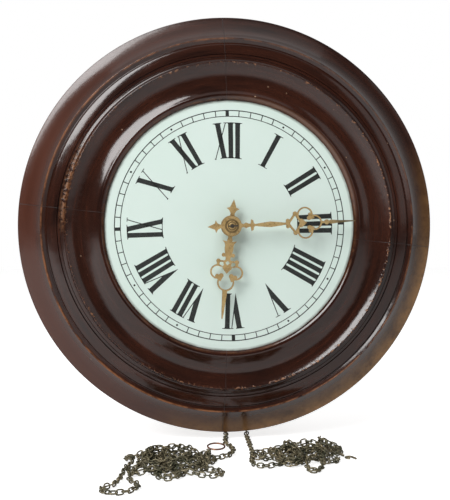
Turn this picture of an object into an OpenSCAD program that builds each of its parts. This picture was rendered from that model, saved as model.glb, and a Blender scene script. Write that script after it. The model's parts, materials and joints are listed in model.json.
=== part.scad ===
// Round turned wall clock with a weight-driven chain movement.
// Origin: centre of the hanger hole on the wall plane. +X right, -Y towards the room, +Z up.
// Lengths are in millimetres. Most modules are drawn about the dial axis and lowered by hang_drop.

/* [Surround] */
// outside diameter of the turned surround
surround_d = 400; // [300:1:500]
// clear opening over the dial
opening_d = 236; // [180:1:300]
// height of the plain side wall at the rim
rim_h = 7.2; // [4:0.1:12]
// distance from the wall to the surround's back
surround_y = 92; // [70:1:120]

/* [Dial] */
// height of the dial face above the surround's back
dial_h = 28.5; // [24:0.5:32]
// thickness of the dial plate
dial_t = 1.5; // [0.8:0.1:2]
// thickness of the wooden disc behind the dial
dial_wood_t = 6; // [4:0.5:8]
// time shown at rest, in degrees clockwise from 12
minute_hand_deg = 87.5; // [0:0.5:359.5]
// hour hand at rest, in degrees clockwise from 12
hour_hand_deg = 185.8; // [0:0.1:359.9]

/* [Case] */
// outside width of the case behind the dial
case_w = 152; // [130:1:180]
// top of the case above the dial axis
case_up = 88; // [70:1:100]
// bottom of the case below the dial axis
case_down = 148; // [140:1:160]
// board thickness of the back, top and bottom
board_t = 8; // [6:1:10]
// height of the hanger hole above the dial axis
hang_drop = 95; // [92:1:110]

/* [Movement] */
// distance between the movement plates
plate_gap = 48; // [40:1:55]
// thickness of each movement plate
plate_t = 2; // [1.5:0.5:3]
// distance of the hung pendulum's centre below its pivot
pendulum_l = 159; // [150:1:165]
// pinion leaves of the train
leaves = 8; // [6:1:10]

/* [Chain] */
// width of a chain link, which is the chain's diameter
chain_d = 5.4; // [4:0.1:7]
// floor below the dial axis
floor_drop = 207; // [205:1:215]

/* [Hidden] */
$fn = 64;

// materials
mahogany = [0.27, 0.12, 0.09];
beech = [0.62, 0.47, 0.30];
enamel = [0.86, 0.91, 0.87];
brass = [0.72, 0.58, 0.34];
steel = [0.50, 0.50, 0.50];
chain_iron = [0.27, 0.27, 0.21];
copper = [0.55, 0.33, 0.22];

// layers, as distances in front of the wall
case_front = 80;
dial_y = surround_y + dial_h;
dial_r = 124;
seat_r = 125;
clip_r = 135;
ledge_h = dial_h - dial_t - dial_wood_t;
plate_back_y = 50;
plate_front_y = plate_back_y + plate_t + plate_gap;
chain_y = 70;
great_y = 60.2;
centre_y = 91.5;
third_y = 78.6;
escape_y = 56;
crutch_y = 45.5;
pendulum_y = 38.2;
hour_hand_y = 129.4;
minute_hand_y = 134.4;
hand_pin_y = 139.6;
hand_t = 1.4;

// train: modules, wheel teeth and centres about the dial axis as [x, z]
great_m = 0.8;
great_n = 72;
centre_m = 0.5;
centre_n = 96;
third_m = 0.4;
third_n = 100;
escape_n = 30;
escape_r = 15;
great_at = [10, -30.4];
third_at = [-12, 23.065];
escape_at = [0, 41.024];
anchor_at = [0, 62.24];
arbor_r = 1.5;
pivot_r = 0.8;
fit = 0.04;

// motion work
cannon_m = 0.75;
cannon_n = 12;
minute_n = 36;
hour_m = 0.72;
hour_pinion_n = 10;
hour_n = 40;
stud_deg = 235;
stud_at = 18 * [cos(stud_deg), sin(stud_deg)];

// chain drive
sprocket_r = 10.1;
tube_r = chain_d / 2;
left_x = great_at[0] - sprocket_r;
right_x = great_at[0] + sprocket_r;
chain_hole_r = 4.5;
floor_z = -floor_drop + tube_r;

// door pivot line
door_t = 6;
door_edge = case_w / 2;
pin_x = door_edge + 1.6;
pin_y = 10;
pin_r = 0.8;
hinge_z = [50, -110];

// chain routes about the dial axis, [x, y, z]
left_route = [[-0.1, -70, -148], [-0.1, -70, -158], [-0.1, -70, -169], [-0.2, -71.5, -180], [-0.4, -75, -190],
  [-0.8, -81, -198.5], [-1.3, -89, -203.2], [-1.9, -98, -204.3], [-3, -108, -204.3], [-5.4, -119, -204.3],
  [-5.6, -129, -204.3], [-1.6, -138, -204.3], [0.2, -148, -204.3], [-0.6, -159, -204.3],
  [-3.6, -170, -204.3], [-10.4, -178, -204.3], [-20, -182, -204.3]];
left_tail = [[-88.5, -184, -204.3], [-92.5, -196, -204.3], [-96, -210, -204.3], [-99.5, -226, -204.3],
  [-102, -241, -204.3], [-104.5, -254, -204.3], [-106.5, -263, -204.3], [-111.5, -264.5, -203.5],
  [-116.5, -268.5, -203], [-118.8, -275.5, -203.6], [-115.5, -281, -204.3], [-109, -283, -204.3],
  [-102.5, -282.4, -204.3], [-96.5, -281, -204.3], [-91, -276.5, -204.3], [-87, -269.5, -204.3],
  [-85, -261.5, -204.3], [-88, -254.5, -204.3], [-93.5, -251, -204.3], [-96.3, -244.5, -204.3],
  [-94.5, -237, -204.3], [-91.5, -229.5, -204.3], [-89.5, -221, -204.3], [-88, -213, -204.3]];
right_route = [[20.1, -70, -148], [20.1, -70, -158], [20.1, -70, -169], [20, -72, -180], [19.7, -76, -190],
  [19.3, -82, -198.5], [18.7, -90, -203.2], [18.1, -101, -204.3], [17.6, -113, -204.3],
  [17.2, -125, -204.3], [16.8, -137, -204.3], [16.4, -149, -204.3], [15.9, -161, -204.3],
  [15.1, -173, -204.3], [13.2, -185, -204.3], [11, -196, -204.3], [10.2, -206, -204.3],
  [13.5, -213.5, -204.3], [21, -215, -204.3]];
right_loop = [[58.4, -201, -204.3], [57.6, -209, -204.3], [55.8, -218, -204.3], [54.4, -229, -204.3],
  [57.5, -237, -204.3], [63.5, -233.5, -204.3], [67.5, -223, -204.3], [71.5, -211, -204.3],
  [76, -199, -204.3]];

function ends(b) = b[len(b) - 1];
function unit(v) = v / norm(v);
function pol(r, a) = r * [cos(a), sin(a)];

// one bend of a moulding outline of [radius, height] points, walked inwards: a0 and a1 are the climb
// angles at its ends, and r is its radius, positive where hollow and negative where it bulges
function bend(p, r, a0, a1, n) = let (c = p + r * [sin(a0), cos(a0)])
  [for (i = [0:n]) let (a = a0 + (a1 - a0) * i / n) c - r * [sin(a), cos(a)]];
function climb(p, a, l) = p + l * [-cos(a), sin(a)];

// a tooth flank: angle on the pitch circle to height h, traced by a circle of radius g rolling on radius b
function roll(b, g, h) =
  let (q = acos(((b + g) * (b + g) + g * g - (b + h) * (b + h)) / (2 * g * (b + g))), t = g / b * q,
    x = (b + g) * cos(t) - g * cos(t + q), y = (b + g) * sin(t) - g * sin(t + q))
  atan2(y, x);

// outline of a clock wheel: radial flanks below the pitch circle and rolled ones above it
function wheel_points(n, m, mate) =
  let (b = n * m / 2, g = mate * m / 4, w = 0.21 * 360 / n,
    side = [[-1.5 * m, w], [0, w], for (h = [0.62 * m, 1.24 * m]) [h, w - roll(b, g, h)]])
  [for (i = [0:n - 1], k = [0:7]) let (q = side[k < 4 ? k : 7 - k])
    pol(b + q[0], i * 360 / n + (k < 4 ? -1 : 1) * q[1])];

module wheel_outline(n, m, mate) polygon(wheel_points(n, m, mate));

module pinion_outline(n, m) {
  b = n * m / 2;
  half = 0.52 * m;
  circle(r = b - 1.55 * m);
  for (i = [0:n - 1])
    rotate(i * 360 / n) {
      polygon([[0, 0], pol(b, -asin(half / b)), pol(b, asin(half / b))]);
      translate([b * cos(asin(half / b)), 0]) circle(r = half, $fn = 24);
    }
}

// places
module from_dial() translate([0, 0, -hang_drop]) children();
module slab(near, far) translate([0, -near, 0]) rotate([90, 0, 0]) linear_extrude(far - near) children();
module at(p) translate([p[0], 0, p[1]]) children();
module round_bar(p, r, near, far) at(p) slab(near, far) circle(r);
module box(x, y, z) translate([x[0], y[0], z[0]]) cube([x[1] - x[0], y[1] - y[0], z[1] - z[0]]);
module both() { children(); mirror([1, 0, 0]) children(); }
module spin(deg) rotate([0, deg, 0]) children();

// a round tube along a route, closed at both ends
function tangents(p) = [for (i = [0:len(p) - 1]) unit(p[min(i + 1, len(p) - 1)] - p[max(i - 1, 0)])];
function carried(t, i, n) = i == len(t) ? [] :
  let (m = unit(n - (n * t[i]) * t[i])) concat([m], carried(t, i + 1, m));
module tube(p, r, sides = 8) {
  t = tangents(p);
  n = carried(t, 0, [0.8, 0.6, 0]);
  last = len(p) - 1;
  points = [for (i = [0:last], k = [0:sides - 1])
    let (a = k * 360 / sides) p[i] + r * (cos(a) * n[i] + sin(a) * cross(t[i], n[i]))];
  walls = [for (i = [0:last - 1], k = [0:sides - 1]) let (e = (k + 1) % sides, o = i * sides)
    [o + k, o + sides + k, o + sides + e, o + e]];
  polyhedron(points, concat([[for (k = [0:sides - 1]) k]], walls,
    [[for (k = [sides - 1:-1:0]) last * sides + k]]));
}

// surround ----------------------------------------------------------------
function moulding() =
  let (R = surround_d / 2, o = opening_d / 2,
    rim = bend([R, rim_h], -0.9, 90, 18.5, 4),
    cavetto = bend(ends(rim), 42.2, 18.5, 56.5, 10),
    arris = bend(ends(cavetto), -0.5, 56.5, -24, 3),
    valley = bend(climb(ends(arris), -30, 4), 0.8, -30, 75, 4),
    shoulder = bend(ends(valley), -2.6, 75, 16, 5),
    band = bend(ends(shoulder), -42, 16, 4.5, 4),
    v = ends(band),
    riser = bend(v + [-5.1, 0.7], 2.6, 10, 74, 5),
    ridge = bend(climb(ends(riser), 74, 3.2), -0.8, 74, -33.2, 5),
    cove = bend(ends(ridge), 28, -33.2, 28.7, 14),
    lip_out = bend(ends(cove), -3, 28.7, 0, 3),
    lip_in = bend(ends(lip_out), -5.6, 0, -54, 6))
  concat([[clip_r, 0], [R - 0.6, 0], [R, 0.6]], rim, cavetto, arris, valley, shoulder, band,
    [v + [-0.5, -0.9], v + [-1, 0.1], v + [-3.1, 0.35], v + [-3.35, 0], v + [-3.6, 0.4]],
    riser, ridge, cove, lip_out, lip_in, [[o, dial_h + 1], [o, dial_h], [seat_r, dial_h],
    [seat_r, ledge_h], [clip_r, ledge_h]]);

module surround_moulding() color(mahogany) from_dial() difference() {
  translate([0, -surround_y, 0]) rotate([90, 0, 0]) rotate_extrude($fn = 180) polygon(moulding());
  surround_screw_places() round_bar([0, 0], 1.9, surround_y - 1, surround_y + 12.2);
  clip_places() round_bar([0, 0], 1.2, surround_y + ledge_h - 0.1, surround_y + ledge_h + 4.2);
}

module surround_screw_places() for (a = [22.5:45:337.5]) at(pol(152, a)) children();
module clip_places() for (a = [45:90:315]) at(pol(129.5, a)) children();

// a countersunk wood screw, head at the near side, pointing away from the wall
module wood_screw(r, head_r, near, length) {
  translate([0, -near, 0]) rotate([90, 0, 0]) cylinder(r1 = head_r, r2 = r, h = head_r - r);
  slab(near + head_r - r, near + length) circle(r);
}

module surround_screws() color(brass) from_dial() {
  surround_screw_places() wood_screw(1.9, 3.8, case_front + 0.4, 23.6);
  clip_places() {
    slab(surround_y + ledge_h - 3, surround_y + ledge_h - 1.5) circle(2.6);
    slab(surround_y + ledge_h - 1.5, surround_y + ledge_h + 4) circle(1.2);
  }
}

module backing_board() color(beech) from_dial() difference() {
  slab(case_front, surround_y) difference() {
    circle(168, $fn = 120);
    translate([-56, -73]) square([112, 146]);
  }
  surround_screw_places() {
    slab(case_front - 1, surround_y + 1) circle(1.9);
    translate([0, -case_front + 0.01, 0]) rotate([90, 0, 0]) cylinder(r1 = 4.3, r2 = 1.9, h = 2.4);
  }
}

// dial --------------------------------------------------------------------
module dial_plate() color(enamel) from_dial() slab(dial_y - dial_t, dial_y) difference() {
  circle(dial_r, $fn = 120);
  circle(4.6);
}

module dial_backing() color(beech) from_dial() slab(dial_y - dial_t - dial_wood_t, dial_y - dial_t)
  difference() {
    circle(dial_r + 0.5, $fn = 120);
    circle(6);
  }

module dial_clips() color(brass) from_dial() for (a = [45:90:315])
  rotate([0, -a, 0]) slab(surround_y + ledge_h - 1.5, surround_y + ledge_h) difference() {
    union() {
      translate([112, -4]) square([17.5, 8]);
      translate([112, 0]) circle(4);
      translate([129.5, 0]) circle(4);
    }
    translate([129.5, 0]) circle(1.2);
  }

// case --------------------------------------------------------------------
module case_back() color(beech) from_dial() difference() {
  box([-case_w / 2, case_w / 2], [-board_t, 0], [-case_down, case_up]);
  box([-14, 14], [-2, 1], [58, case_up + 1]);
  for (x = [-8, 8]) round_bar([x, 68], 1.6, -1, board_t - 0.5);
  for (p = board_screw_points) round_bar(p, 1.6, -1, board_t + 1);
  round_bar([0, -130], 2.25, -1, board_t + 1);
}

board_screw_points = [for (x = [-55, 55], z = [84, -144, -68]) [x, z]];

module case_top() color(beech) from_dial() difference() {
  box([-case_w / 2, case_w / 2], [-case_front, -board_t], [case_up - board_t, case_up]);
  for (x = [-55, 55]) round_bar([x, 84], 1.6, board_t - 1, board_t + 16);
}

module case_bottom() color(beech) from_dial() difference() {
  box([-case_w / 2, case_w / 2], [-case_front, -board_t], [-case_down, -case_down + board_t]);
  for (x = [-55, 55]) round_bar([x, -144], 1.6, board_t - 1, board_t + 16);
  chain_holes(-case_down - 1, -case_down + board_t + 1);
}

module chain_holes(low, high) for (x = [left_x, right_x])
  translate([x, -chain_y, low]) cylinder(r = chain_hole_r, h = high - low);

module case_rails() color(beech) from_dial() both()
  box([62, 69.7], [-case_front, -case_front + 8], [-case_down + board_t, case_up - board_t]);

module case_screws() color(steel) from_dial() {
  for (p = board_screw_points) at(p) slab(0, board_t + 15) circle(1.6);
  for (x = [-8, 8]) at([x, 68]) {
    slab(2, board_t - 0.6) circle(1.6);
    slab(0.6, 2) circle(2.6);
  }
}

module hanger_plate() color(steel) from_dial() slab(0, 2) difference() {
  union() {
    translate([-14, 58]) square([28, hang_drop - 58]);
    translate([0, hang_drop]) circle(14);
  }
  translate([0, hang_drop]) circle(4);
  for (x = [-8, 8]) translate([x, 68]) circle(2.7);
}

// side doors --------------------------------------------------------------
module door_panel() difference() {
  box([door_edge - door_t, door_edge], [-case_front + 0.8, -board_t - 0.8],
    [-case_down + board_t + 0.6, case_up - board_t - 0.6]);
  box([door_edge - 2, door_edge + 1], [-case_front + 14, -board_t - 14], [-case_down + 26, case_up - 26]);
}

module door_knob() translate([door_edge, -case_front + 7, -30]) rotate([0, 90, 0]) {
  cylinder(r = 2, h = 3);
  translate([0, 0, 3]) cylinder(r1 = 3, r2 = 4.2, h = 3);
  translate([0, 0, 6]) cylinder(r1 = 4.2, r2 = 2.4, h = 2);
}

module knuckle(z, h) translate([pin_x, -pin_y, z]) difference() {
  cylinder(r = 1.6, h = h);
  translate([0, 0, -1]) cylinder(r = pin_r + fit, h = h + 2);
}

// door side of each hinge: a leaf on the door's face and the two outer knuckles
module door_hinge() for (z = hinge_z) {
  for (k = [0, 10.4]) knuckle(z + k, 4.6);
  difference() {
    box([door_edge, door_edge + 0.8], [-pin_y - 12, -pin_y - 1], [z, z + 15]);
    translate([pin_x, -pin_y, z + 4.6]) cylinder(r = 1.9, h = 5.8);
    translate([pin_x, -pin_y, z - 1]) cylinder(r = 1.5, h = 17);
  }
}

// case side: a leaf on the back board's edge, the middle knuckle and the pin
module case_hinge() for (z = hinge_z) {
  knuckle(z + 4.9, 5.2);
  difference() {
    box([door_edge, door_edge + 0.8], [-pin_y + 1, -1], [z + 4.9, z + 10.1]);
    translate([pin_x, -pin_y, z]) cylinder(r = 1.5, h = 17);
  }
  translate([pin_x, -pin_y, z - 0.5]) cylinder(r = pin_r, h = 16);
  translate([pin_x, -pin_y, z + 15.3]) cylinder(r = 1.3, h = 1);
}

module left_door() color(beech) from_dial() mirror([1, 0, 0]) door_panel();
module right_door() color(beech) from_dial() door_panel();
module left_door_knob() color(brass) from_dial() mirror([1, 0, 0]) door_knob();
module right_door_knob() color(brass) from_dial() door_knob();
module left_door_hinges() color(brass) from_dial() mirror([1, 0, 0]) door_hinge();
module right_door_hinges() color(brass) from_dial() door_hinge();
module case_hinges() color(brass) from_dial() both() case_hinge();

// movement frame ----------------------------------------------------------
module seat_board() color(beech) from_dial() difference() {
  box([-60, 60], [-case_front, -board_t], [-72, -64]);
  box([-12, 12], [-pendulum_y - 6, -pendulum_y + 6], [-73, -63]);
  chain_holes(-73, -63);
  for (x = [-44, 44]) translate([x, -76, -73]) cylinder(r = 2.1, h = 10);
  for (x = [-55, 55]) round_bar([x, -68], 1.6, board_t - 1, board_t + 16);
}

module seat_bolts() color(steel) from_dial() for (x = [-44, 44]) translate([x, -76, 0]) {
  translate([0, 0, -75]) cylinder(r = 4, h = 3, $fn = 6);
  translate([0, 0, -72]) cylinder(r = 2, h = 13.5);
}

pillar_points = [for (x = [-44, 44], z = [-57, 63]) [x, z]];

module plate(y, holes) from_dial() difference() {
  slab(y, y + plate_t) translate([-50, -64]) square([100, 136]);
  for (p = pillar_points) round_bar(p, 2.5, y - 1, y + plate_t + 1);
  for (h = holes) round_bar(h[0], h[1], y - 1, y + plate_t + 1);
}

pivot_holes = [[great_at, 1.2 + fit], [third_at, pivot_r + fit], [escape_at, pivot_r + fit]];
cock_screw_points = [for (x = [-7.5, 7.5]) [x, 69.2]];

module movement_front_plate() color(brass) plate(plate_front_y,
  concat(pivot_holes, [[[0, 0], arbor_r + fit], [anchor_at, pivot_r + fit], [stud_at, 1.8]]));

module movement_back_plate() color(brass) plate(plate_back_y,
  concat(pivot_holes, [[[0, 0], pivot_r + fit], [anchor_at, arbor_r + fit]],
    [for (p = cock_screw_points) [p, 1.2]]));

module movement_pillars() color(brass) from_dial() difference() {
  for (p = pillar_points) at(p) {
    slab(plate_back_y + plate_t, plate_front_y) circle(4);
    slab(plate_back_y - 2.4, plate_front_y + plate_t + 2.4) circle(2.5);
  }
  for (x = [-44, 44]) translate([x, -76, -62]) cylinder(r = 2, h = 4.5);
}

module pillar_nuts() color(steel) from_dial() for (p = pillar_points) at(p) {
  slab(plate_front_y + plate_t, plate_front_y + plate_t + 2.2) nut_face();
  slab(plate_back_y - 2.2, plate_back_y) nut_face();
}

module nut_face() difference() {
  circle(r = 4.4, $fn = 6);
  circle(r = 2.5);
}

// going train -------------------------------------------------------------
module spoked(rim_r, hub_r, bore_r, arms) difference() {
  children();
  difference() {
    circle(rim_r);
    circle(hub_r);
    for (i = [0:arms - 1]) rotate(i * 360 / arms + 20) translate([0, -1.3]) square([rim_r + 1, 2.6]);
  }
  circle(bore_r);
}

// a shaft between the plates with a thinner pivot at each end
module arbor(p, r, end_r) {
  round_bar(p, r, plate_back_y + plate_t + 0.3, plate_front_y - 0.3);
  round_bar(p, end_r, plate_back_y - 0.3, plate_front_y + plate_t + 0.3);
}

function toward(p, q) = atan2(q[1] - p[1], q[0] - p[0]);

module wheel(p, mate_at, n, m, mate_n, y, t, bore_r, hub_r, arms) at(p) slab(y, y + t)
  spoked((n / 2 - 2.2) * m - 1.2, hub_r, bore_r, arms)
    rotate(toward(p, mate_at)) wheel_outline(n, m, mate_n);

module pinion(p, mate_at, n, m, near, far) at(p) slab(near, far)
  rotate(toward(p, mate_at) + 180 / n) pinion_outline(n, m);

module great_arbor() color(steel) from_dial() {
  arbor(great_at, 2, 1.2);
  round_bar(great_at, 3.4, 77, 78.5);
}

module great_wheel() color(brass) from_dial() {
  at(great_at) slab(great_y, great_y + 2.4) difference() {
    rotate(toward(great_at, [0, 0])) wheel_outline(great_n, great_m, leaves);
    circle(2);
  }
  at(great_at) at(click_pivot) slab(great_y + 2.4, 66.9) circle(1);
}

module chain_sprocket() color(steel) from_dial() at(great_at) {
  slab(64.6, 76.6) difference() {
    circle(5);
    circle(2 + fit);
  }
  slab(66.9, 73.1) difference() {
    circle(7);
    circle(5);
  }
  slab(73.1, 75.6) difference() {
    circle(12.8);
    circle(5);
  }
  slab(69.3, 70.7) for (i = [0:5]) rotate(i * 60 + 30)
    polygon([[6.5, -2], [9.6, -1.3], [10.9, -0.4], [10.9, 0.4], [9.6, 1.3], [6.5, 2]]);
}

ratchet_n = 18;
ratchet_low = 11.2;
ratchet_high = 13.5;
click_pivot = pol(17.5, 102);

module ratchet_wheel() color(brass) from_dial() at(great_at) slab(64.6, 66.9) difference() {
  polygon([for (i = [0:ratchet_n - 1], k = [0, 1])
    let (a = 60 + i * 360 / ratchet_n) pol(k == 0 ? ratchet_high : ratchet_low, a)]);
  circle(5);
}

module click() color(steel) from_dial() at(great_at) slab(64.8, 66.6) difference() {
  union() {
    polygon([pol(14.2, 60.8), pol(16.8, 64), click_pivot + [-1.2, 1.6], click_pivot + [-1.2, -1.6],
      pol(14.35, 77), pol(12.6, 68), pol(11.65, 60.9)]);
    translate(click_pivot) circle(2.4);
  }
  translate(click_pivot) circle(1 + fit);
}

module click_spring() color(steel) from_dial() at(great_at) {
  at(pol(23.2, 118)) slab(great_y + 2.4, 66.2) circle(1);
  slab(64.9, 66.1) difference() {
    circle(22.8);
    circle(22.4);
    rotate(116) translate([-40, 0]) square([80, 40]);
    rotate(-104) translate([-40, 0]) square([80, 40]);
  }
}

module centre_arbor() color(steel) from_dial() {
  difference() {
    round_bar([0, 0], arbor_r, plate_back_y + plate_t + 0.3, 141);
    hand_pin_shape();
  }
  round_bar([0, 0], pivot_r, plate_back_y - 0.3, plate_back_y + plate_t + 0.3);
  pinion([0, 0], great_at, leaves, great_m, great_y - 1.5, great_y + 4);
}

module centre_wheel() color(brass) from_dial()
  wheel([0, 0], third_at, centre_n, centre_m, leaves, centre_y, 1.6, arbor_r, 5, 4);

module third_arbor() color(steel) from_dial() {
  arbor(third_at, 1.1, pivot_r);
  pinion(third_at, [0, 0], leaves, centre_m, centre_y - 1.5, centre_y + 3);
}

module third_wheel() color(brass) from_dial()
  wheel(third_at, escape_at, third_n, third_m, leaves, third_y, 1.4, 1.1, 4, 4);

module escape_arbor() color(steel) from_dial() {
  arbor(escape_at, 0.95, pivot_r);
  pinion(escape_at, third_at, leaves, third_m, third_y - 1.5, third_y + 3);
}

module escape_wheel() color(brass) from_dial() at(escape_at) slab(escape_y, escape_y + 1.2)
  spoked(escape_r - 5, 3.4, 0.95, 4)
    polygon([for (i = [0:escape_n - 1], k = [0:2]) let (a = i * 360 / escape_n)
      pol([escape_r - 3.2, escape_r, escape_r][k], a + [-3.5, 0.6, 1.4][k])]);

module anchor_arbor() color(steel) from_dial() {
  round_bar(anchor_at, arbor_r, 44.2, plate_front_y - 0.3);
  round_bar(anchor_at, pivot_r, plate_front_y - 0.3, plate_front_y + plate_t + 0.3);
}

// recoil anchor: two arms whose pads stop just clear of the wheel's tips
module anchor() color(steel) from_dial() at(anchor_at) slab(escape_y - 0.6, escape_y + 1.8) difference() {
  union() {
    circle(3.4);
    winged([[0, -1.6], [7.6, -3], [12, -6], [12.8, -8.2], [15.6, -8.6], [14.5, -5.6], [9.5, -0.6], [0, 2.6]]);
  }
  circle(arbor_r);
}

module crutch() color(steel) from_dial() {
  at(anchor_at) slab(crutch_y, crutch_y + 1.6) difference() {
    union() {
      circle(3);
      translate([-1.3, -44]) square([2.6, 42]);
      translate([-3.1, -44]) square([6.2, 3]);
    }
    circle(arbor_r);
  }
  for (x = [-3.1, 1.7]) box([x, x + 1.4], [-crutch_y, -pendulum_y + 2.6],
    [anchor_at[1] - 44, anchor_at[1] - 41]);
}

module suspension_cock() color(brass) from_dial() {
  difference() {
    box([-11, 11], [-plate_back_y, -plate_back_y + 2], [66.4, 72]);
    for (p = cock_screw_points) round_bar(p, 1.2, plate_back_y - 3, plate_back_y + 1);
  }
  box([-4, 4], [-plate_back_y + 2, -31.5], [69.6, 72]);
  box([-4, 4], [-34, -31.5], [58, 69.6]);
  round_bar(anchor_at, 0.9, 34, 41);
}

module cock_screws() color(steel) from_dial() for (p = cock_screw_points) {
  round_bar(p, 2.2, plate_back_y - 3.4, plate_back_y - 2);
  round_bar(p, 1.2, plate_back_y - 2, plate_back_y + plate_t);
}

module pendulum_rod() color(steel) from_dial() {
  at(anchor_at) slab(pendulum_y - 1, pendulum_y + 1) difference() {
    circle(2.6);
    circle(0.9 + fit);
  }
  translate([0, -pendulum_y, anchor_at[1] - pendulum_l - 38]) cylinder(r = 1, h = pendulum_l + 36);
}

module pendulum_bob() color(brass) from_dial() translate([0, -pendulum_y, anchor_at[1] - pendulum_l])
  difference() {
    rotate([90, 0, 0]) rotate_extrude() polygon([[0, -4], [14, -3], [22, -0.6], [22, 0.6], [14, 3], [0, 4]]);
    translate([0, 0, -30]) cylinder(r = 1, h = 60);
  }

module rating_nut() color(brass) from_dial()
  translate([0, -pendulum_y, anchor_at[1] - pendulum_l - 27.3]) difference() {
    union() {
      cylinder(r = 4, h = 3, $fn = 24);
      translate([0, 0, 3]) cylinder(r1 = 2.8, r2 = 2, h = 2);
    }
    translate([0, 0, -1]) cylinder(r = 1 + fit, h = 8);
  }

// motion work -------------------------------------------------------------
module cannon_pinion() color(brass) from_dial() difference() {
  union() {
    pinion([0, 0], stud_at, cannon_n, cannon_m, 103.4, 106.2);
    round_bar([0, 0], 2.5, 103.4, minute_hand_y + hand_t);
  }
  round_bar([0, 0], arbor_r, 103, minute_hand_y + hand_t + 1);
}

module minute_wheel() color(brass) from_dial() difference() {
  union() {
    wheel(stud_at, [0, 0], minute_n, cannon_m, cannon_n, 103.8, 2, 1.2, 4, 4);
    pinion(stud_at, [0, 0], hour_pinion_n, hour_m, 105.8, 110.4);
  }
  round_bar(stud_at, 1.2 + fit, 100, 112);
}

module minute_stud() color(steel) from_dial() {
  round_bar(stud_at, 1.8, plate_front_y, plate_front_y + plate_t + 1.4);
  round_bar(stud_at, 1.2, plate_front_y + plate_t, 112);
}

module hour_wheel() color(brass) from_dial() {
  wheel([0, 0], stud_at, hour_n, hour_m, hour_pinion_n, 107.8, 2.2, 2.6, 5, 4);
  slab(107.8, hour_hand_y + hand_t) difference() {
    circle(3.5);
    circle(2.6);
  }
}

// hands -------------------------------------------------------------------
// each outline points up at 12 and is turned to its time at rest
module heart(p, s, deg) translate(p) rotate(deg) {
  for (x = [-0.24, 0.24]) translate([x * s, 0.14 * s]) circle(0.27 * s, $fn = 24);
  polygon([[-0.48 * s, 0.02 * s], [0, -0.54 * s], [0.48 * s, 0.02 * s], [0.24 * s, 0.2 * s],
    [-0.24 * s, 0.2 * s]]);
}

module bar(a, b, w) {
  d = unit(b - a);
  side = w / 2 * [-d[1], d[0]];
  polygon([a - side, b - side, b + side, a + side]);
}

// a symmetric outline from its right half, listed from its lowest point on the centre line to its highest
module winged(half) polygon(concat(half,
  [for (i = [len(half) - 2:-1:1]) [-half[i][0], half[i][1]]]));

// three joined hoops: one each side and one at the end, open inside
module trefoil(side, side_r, end, end_r, wall) difference() {
  union() {
    for (s = [-1, 1]) translate([s * side[0], side[1]]) circle(side_r, $fn = 48);
    translate([0, end]) circle(end_r, $fn = 48);
  }
  for (s = [-1, 1]) translate([s * side[0], side[1]]) circle(side_r - wall, $fn = 48);
  translate([0, end]) circle(end_r - wall, $fn = 48);
  winged([[0, side[1] - 4.8], [side[0] - 2, side[1] - 4.8], [side[0], side[1] + 1], [0, end + 1]]);
}

module hour_outline() {
  circle(9.8);
  winged([[0, 9], [2.2, 9.4], [1.6, 11.2], [2.65, 13.4], [2.2, 14.6], [6.7, 14], [4.6, 16.4], [3.9, 18.6],
    [4.1, 21], [3.5, 25], [2.2, 28], [2.3, 31.4], [0, 31.8]]);
  for (s = [-1, 1]) {
    translate([s * 4.4, 27.4]) circle(1.8);
    bar([s * 4.4, 27.4], [s, 28.8], 2);
    bar([s * 2, 33.4], [s * 8.5, 33.4], 1.7);
    translate([s * 8.7, 33.4]) circle(2);
    bar([s * 8.7, 33.6], [s * 8.7, 37.6], 2.6);
    heart([s * 6.2, 48.4], 7.8, 180 + s * 15);
  }
  difference() {
    winged([[0, 30.6], [2.8, 32], [4, 34.7], [3, 37.2], [0, 38.4]]);
    winged([[0, 32.6], [2.15, 34.8], [0, 37]]);
  }
  heart([0, 40.2], 8.6, 180);
  trefoil([8.7, 43.5], 6.8, 53.2, 8, 1.5);
  winged([[0, 60], [2.4, 60.6], [2.2, 63], [1.2, 80], [0.5, 87.1], [0, 87.1]]);
  winged([[0, -24.9], [3, -17.4], [6.2, -16.4], [3.4, -14.6], [1.9, -11.8], [2.2, -9.4], [0, -9]]);
}

module minute_outline() {
  circle(9);
  winged([[0, 8], [2.1, 8.8], [1.4, 11], [2.65, 13.3], [1.6, 15.6], [1.5, 17.6], [5.5, 18.2], [4.6, 20],
    [1.8, 20.7], [0.9, 22], [1.7, 27], [2.65, 36], [1.7, 45], [0.9, 50.5], [0, 50.5]]);
  translate([0, 52.4]) circle(2.2);
  for (s = [-1, 1]) {
    translate([s * 2.7, 52.6]) circle(1.8);
    bar([s * 0.8, 53.6], [s * 7.8, 58.8], 2);
    translate([s * 8.9, 59.6]) circle(2.1);
    bar([s * 8.8, 60], [s * 8.2, 63], 2.6);
    bar([s * 1.4, 64.4], [s * 7, 60.6], 1.7);
    heart([s * 5.6, 74.2], 7.2, 180 + s * 20);
  }
  heart([0, 66.2], 8, 180);
  trefoil([7.5, 68.9], 7.4, 77.6, 7.2, 1.4);
  translate([0, 89.4]) circle(2.4);
  winged([[0, 84], [1.4, 84.4], [0.9, 86.6], [0.9, 91.6], [1.95, 93], [1.3, 100], [0.45, 116.6], [0, 116.6]]);
  winged([[0, -22.8], [2.8, -15.8], [5.8, -14.8], [3, -13.2], [1.7, -11], [2.1, -8.8], [0, -8]]);
}

module hour_hand() color(brass) from_dial() spin(hour_hand_deg)
  slab(hour_hand_y, hour_hand_y + hand_t) difference() {
    hour_outline();
    circle(3.5);
  }

module minute_hand() color(brass) from_dial() spin(minute_hand_deg)
  slab(minute_hand_y, minute_hand_y + hand_t) difference() {
    minute_outline();
    circle(2.5);
  }

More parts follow.
